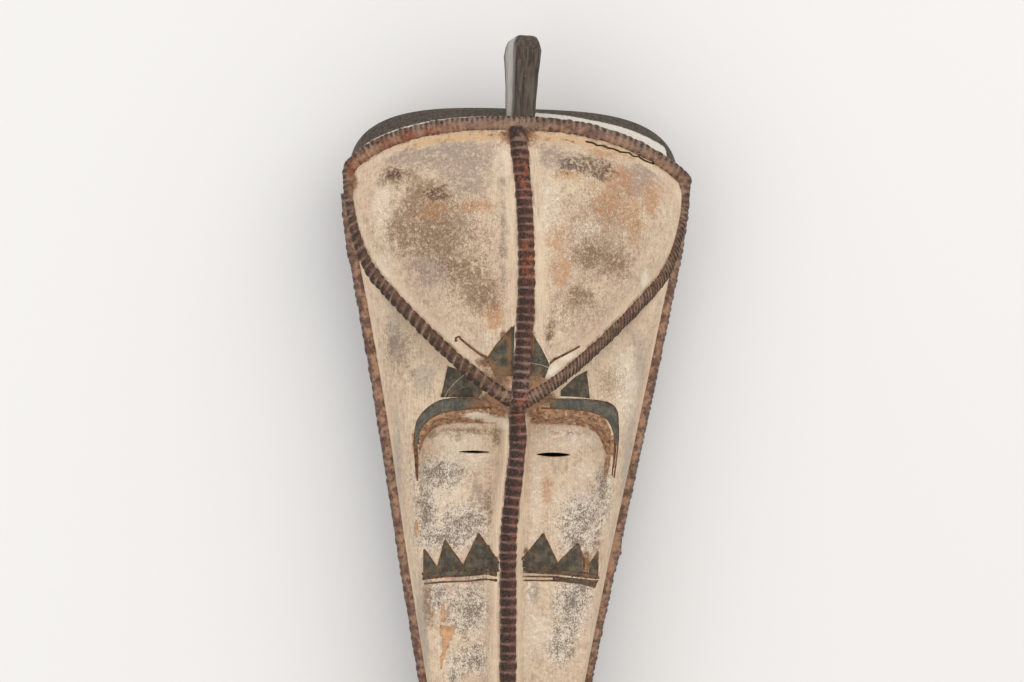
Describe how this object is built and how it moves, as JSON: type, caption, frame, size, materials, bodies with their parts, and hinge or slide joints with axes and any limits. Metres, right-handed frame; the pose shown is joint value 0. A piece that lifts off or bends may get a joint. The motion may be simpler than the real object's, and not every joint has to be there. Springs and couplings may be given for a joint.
{
  "type": "carved face mask",
  "caption": "Long narrow carved wooden face mask with a domed, ridged forehead, sunk eye niches, a long ridged nose and a crest post, hollow at the back.",
  "frame": {"origin": "middle of the mask's length and width, on the plane of its flat back edge", "axes": "+Z out of the face, +Y from the chin to the crest post, +X to the right of someone who faces the mask"},
  "size_m": [0.2844, 0.7734, 0.1519],
  "materials": {
    "painted_wood": "matt white clay worn over dark brown wood"
  },
  "bodies": {
    "root": {"mask": "painted_wood"}
  },
  "joints": []
}
